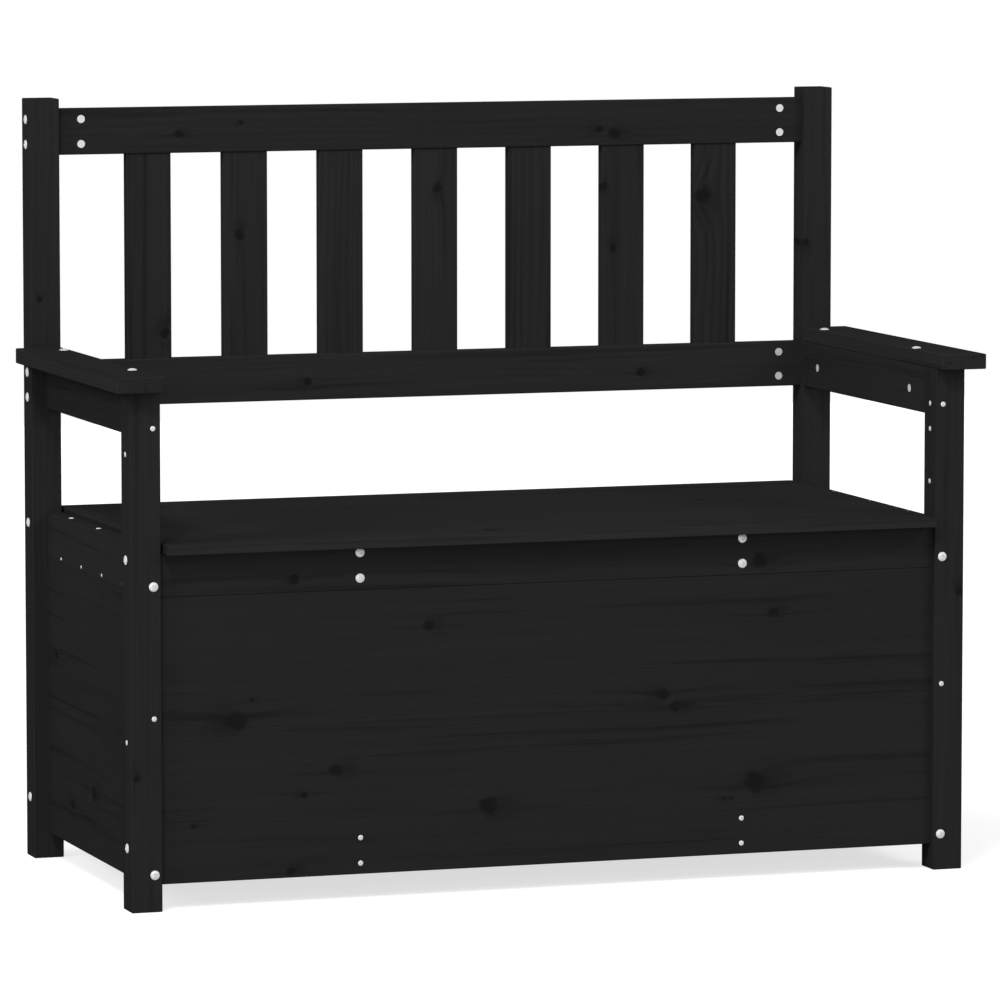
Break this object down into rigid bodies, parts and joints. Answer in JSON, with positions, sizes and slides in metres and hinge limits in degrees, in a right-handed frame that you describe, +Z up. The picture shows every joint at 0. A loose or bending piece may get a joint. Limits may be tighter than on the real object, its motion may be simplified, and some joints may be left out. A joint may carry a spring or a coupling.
{
  "type": "storage bench",
  "caption": "Black-stained pine bench with a slatted back, flat armrests and a panelled box under a hinged seat lid, bolted together with barrel nuts.",
  "frame": {"origin": "on the floor at the middle of the bench's footprint", "axes": "+Z up, +X to the right seen from the front, along the seat, +Y from the front towards the back"},
  "size_m": [1.125, 0.5164, 0.965],
  "materials": {
    "stained_pine": "black stain, matt",
    "dowel_beech": "plain, unfinished",
    "zinc_steel": "bright zinc plate",
    "black_steel": "black, satin"
  },
  "bodies": {
    "base": {"post_front_left": "stained_pine", "post_front_right": "stained_pine", "post_rear_left": "stained_pine", "post_rear_right": "stained_pine", "back_top_rail": "stained_pine", "back_lower_rail": "stained_pine", "back_slat_1": "stained_pine", "back_slat_2": "stained_pine", "back_slat_3": "stained_pine", "back_slat_4": "stained_pine", "back_slat_5": "stained_pine", "back_slat_6": "stained_pine", "back_slat_7": "stained_pine", "armrest_left": "stained_pine", "arm_rail_left": "stained_pine", "side_rail_left": "stained_pine", "side_panel_left": "stained_pine", "lid_cleat_left": "stained_pine", "seat_bearer_left": "stained_pine", "floor_bearer_left": "stained_pine", "armrest_right": "stained_pine", "arm_rail_right": "stained_pine", "side_rail_right": "stained_pine", "side_panel_right": "stained_pine", "lid_cleat_right": "stained_pine", "seat_bearer_right": "stained_pine", "floor_bearer_right": "stained_pine", "front_rail": "stained_pine", "front_panel": "stained_pine", "rear_rail": "stained_pine", "rear_panel": "stained_pine", "floor_board_1": "stained_pine", "floor_board_2": "stained_pine", "floor_board_3": "stained_pine", "floor_board_4": "stained_pine", "floor_board_5": "stained_pine", "floor_board_6": "stained_pine", "floor_board_7": "stained_pine", "rear_seat_strip": "stained_pine", "strip_dowels": "dowel_beech", "frame_bolts": "zinc_steel", "bearer_bolts": "zinc_steel", "armrest_bolts": "zinc_steel", "barrel_nuts": "zinc_steel", "frame_screws": "zinc_steel", "post_set_screws": "zinc_steel", "post_tie_screws": "zinc_steel", "side_rail_screws": "zinc_steel", "cleat_screws": "zinc_steel", "floor_screws": "zinc_steel", "hinge_leaves_fixed": "black_steel", "hinge_pins": "black_steel", "hinge_screws_fixed": "black_steel"},
    "lid": {"seat_lid": "stained_pine", "lid_batten_left": "stained_pine", "lid_batten_middle": "stained_pine", "lid_batten_right": "stained_pine", "hinge_leaves_lid": "black_steel", "hinge_screws_lid": "black_steel", "batten_screws": "zinc_steel"}
  },
  "joints": [
    {"name": "lid_hinge", "type": "hinge", "parent": "base", "child": "lid", "pos_m": [0, 0.1883, 0.4445], "axis": [-1, 0, 0], "range_deg": [0, 94]}
  ]
}
